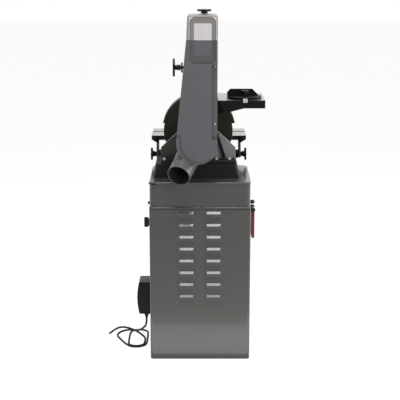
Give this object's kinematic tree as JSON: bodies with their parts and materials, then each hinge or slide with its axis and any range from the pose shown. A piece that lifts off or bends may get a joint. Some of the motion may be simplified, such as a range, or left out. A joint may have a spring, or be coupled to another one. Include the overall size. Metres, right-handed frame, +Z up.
{
  "type": "belt and disc sander",
  "caption": "Floor-standing sander with an upright tilting sanding belt, a sanding disc and tilting work tables on a louvered sheet-metal cabinet.",
  "frame": {"origin": "on the floor, at the centre of the four anchor holes", "axes": "+X to the operator's front (working face of the belt), +Y to the disc side, +Z up"},
  "size_m": [0.7079, 0.7298, 1.526],
  "materials": {
    "cabinet_paint": "dark grey metallic paint, satin",
    "cover_paint": "mid grey metallic paint, satin",
    "cover_iron": "painted casting",
    "brushed_cover": "bright brushed sheet",
    "black_paint": "black paint, satin",
    "black_iron": "black painted casting",
    "table_iron": "ground top, black painted sides",
    "bright_steel": "bright steel",
    "drum_aluminium": "turned aluminium",
    "abrasive": "coated abrasive cloth",
    "black_plastic": "moulded black plastic",
    "cord_rubber": "black rubber",
    "red_plastic": "red moulded plastic"
  },
  "bodies": {
    "root": {"cabinet_shell": "cabinet_paint", "floor_frame": "black_paint", "cabinet_cap": "cabinet_paint", "frame_bolts": "bright_steel", "fixed_screws": "bright_steel", "base_casting": "black_paint", "arbor_pedestal": "cover_paint", "arbor_bearings": "bright_steel", "motor_body": "black_paint", "motor_shelf": "cabinet_paint", "disc_shroud": "black_paint", "disc_guard": "black_paint", "trunnion_brackets": "black_iron", "switch_box": "black_plastic", "starter_plate": "bright_steel", "starter_cover": "black_plastic", "cord_gland": "black_plastic", "power_cord": "cord_rubber", "cord_coil": "cord_rubber", "cord_tail": "cord_rubber", "door_hinges": "black_iron", "drive_belt": "cord_rubber"},
    "arbor": {"arbor_shaft": "bright_steel", "drive_drum": "drum_aluminium", "arbor_pulley": "drum_aluminium", "disc_plate": "drum_aluminium", "abrasive_disc": "abrasive", "arbor_nut": "bright_steel"},
    "motor_rotor": {"motor_shaft": "bright_steel", "motor_pulley": "drum_aluminium"},
    "belt_bed": {"belt_arm": "cover_iron", "platen": "bright_steel", "sanding_belt": "abrasive", "belt_cover": "cover_paint", "idler_cover": "brushed_cover", "dust_chute": "cover_paint", "cover_screws": "bright_steel", "table_bracket": "black_iron"},
    "idler_slide": {"idler_carriage": "cover_iron", "tension_spring": "bright_steel"},
    "tension_screw": {"tension_knob": "black_plastic"},
    "idler_pivot": {"idler_yoke": "cover_iron"},
    "idler": {"idler_drum": "drum_aluminium", "idler_bearings": "bright_steel"},
    "tracking_screw": {"tracking_knob": "black_plastic"},
    "belt_table": {"belt_table": "table_iron"},
    "table_lock": {"table_lock_knob": "black_plastic"},
    "miter_slide": {"miter_bar": "bright_steel"},
    "miter_swivel": {"miter_head": "black_iron"},
    "miter_lock": {"miter_knob": "black_plastic"},
    "disc_table": {"disc_table": "table_iron", "table_trunnions": "black_iron"},
    "left_lock": {"trunnion_knob_left": "black_plastic"},
    "right_lock": {"trunnion_knob_right": "black_plastic"},
    "bed_lock": {"tilt_lever": "black_iron"},
    "start": {"start_button": "black_plastic"},
    "stop": {"stop_paddle": "red_plastic"},
    "door": {"rear_door": "cabinet_paint"},
    "latch": {"door_latch": "black_plastic"}
  },
  "joints": [
    {"name": "arbor_spin", "type": "hinge", "parent": "root", "child": "arbor", "pos_m": [-0.008, 0, 0.973], "axis": [0, 1, 0], "continuous": true},
    {"name": "motor_spin", "type": "hinge", "parent": "root", "child": "motor_rotor", "pos_m": [-0.008, 0, 0.232], "axis": [0, 1, 0], "continuous": true},
    {"name": "bed_tilt", "type": "hinge", "parent": "root", "child": "belt_bed", "pos_m": [-0.008, 0, 0.973], "axis": [0, -1, 0], "range_deg": [0, 90]},
    {"name": "tension_slide", "type": "slide", "parent": "belt_bed", "child": "idler_slide", "axis": [0, 0, 1], "range_m": [-0.01, 0]},
    {"name": "tension_turn", "type": "hinge", "parent": "belt_bed", "child": "tension_screw", "pos_m": [0.0185, -0.044, 1.52], "axis": [0, 0, 1], "range_deg": [-2400, 0]},
    {"name": "tracking_tilt", "type": "hinge", "parent": "idler_slide", "child": "idler_pivot", "pos_m": [0.0185, -0.058, 1.3708], "axis": [0, 0, 1], "range_deg": [-0.5, 0.5]},
    {"name": "tracking_turn", "type": "hinge", "parent": "idler_slide", "child": "tracking_screw", "pos_m": [-0.1, -0.031, 1.277], "axis": [1, 0, 0], "range_deg": [-180, 180]},
    {"name": "idler_spin", "type": "hinge", "parent": "idler_pivot", "child": "idler", "pos_m": [0.0185, 0, 1.3708], "axis": [0, 1, 0], "continuous": true},
    {"name": "table_tilt", "type": "hinge", "parent": "belt_bed", "child": "belt_table", "pos_m": [0.088, 0, 1.136], "axis": [0, 1, 0], "range_deg": [0, 45]},
    {"name": "table_lock_turn", "type": "hinge", "parent": "belt_bed", "child": "table_lock", "pos_m": [0.09585, 0, 1.09149], "axis": [0, 1, 0], "range_deg": [0, 180]},
    {"name": "miter_travel", "type": "slide", "parent": "belt_table", "child": "miter_slide", "axis": [0, 1, 0], "range_m": [-0.05, 0.12]},
    {"name": "miter_angle", "type": "hinge", "parent": "miter_slide", "child": "miter_swivel", "pos_m": [0.19, -0.144, 1.16], "axis": [0, 0, 1], "range_deg": [-60, 60]},
    {"name": "miter_lock_turn", "type": "hinge", "parent": "miter_swivel", "child": "miter_lock", "pos_m": [0.19, -0.144, 1.18], "axis": [0, 0, 1], "range_deg": [0, 270]},
    {"name": "disc_table_tilt", "type": "hinge", "parent": "root", "child": "disc_table", "pos_m": [0, 0.228, 0.937], "axis": [1, 0, 0], "range_deg": [-45, 15]},
    {"name": "left_lock_turn", "type": "hinge", "parent": "root", "child": "left_lock", "pos_m": [-0.2, 0.228, 0.85], "axis": [1, 0, 0], "range_deg": [0, 180]},
    {"name": "right_lock_turn", "type": "hinge", "parent": "root", "child": "right_lock", "pos_m": [0.187, 0.228, 0.85], "axis": [1, 0, 0], "range_deg": [0, 180]},
    {"name": "bed_lock_swing", "type": "hinge", "parent": "root", "child": "bed_lock", "pos_m": [0.105, -0.03, 0.886], "axis": [0, 1, 0], "range_deg": [0, 40]},
    {"name": "start_press", "type": "slide", "parent": "root", "child": "start", "axis": [-1, 0, 0], "range_m": [0, 0.0035], "stiffness_N_per_m": 800},
    {"name": "stop_press", "type": "hinge", "parent": "root", "child": "stop", "pos_m": [0.239, 0, 0.642], "axis": [0, 1, 0], "range_deg": [0, 2], "stiffness_Nm_per_rad": 6},
    {"name": "door_swing", "type": "hinge", "parent": "root", "child": "door", "pos_m": [-0.229, 0.162, 0.5], "axis": [0, 0, -1], "range_deg": [0, 110]},
    {"name": "latch_turn", "type": "hinge", "parent": "door", "child": "latch", "pos_m": [-0.222, -0.124, 0.609], "axis": [1, 0, 0], "range_deg": [0, 90]}
  ],
  "couplings": [
    {"joint": "motor_spin", "follows": "arbor_spin", "ratio": 1.1389},
    {"joint": "idler_spin", "follows": "arbor_spin", "ratio": 1.5192},
    {"joint": "tension_turn", "follows": "tension_slide", "rad_per_m": 4188.8},
    {"joint": "tracking_turn", "follows": "tracking_tilt", "ratio": 360}
  ]
}
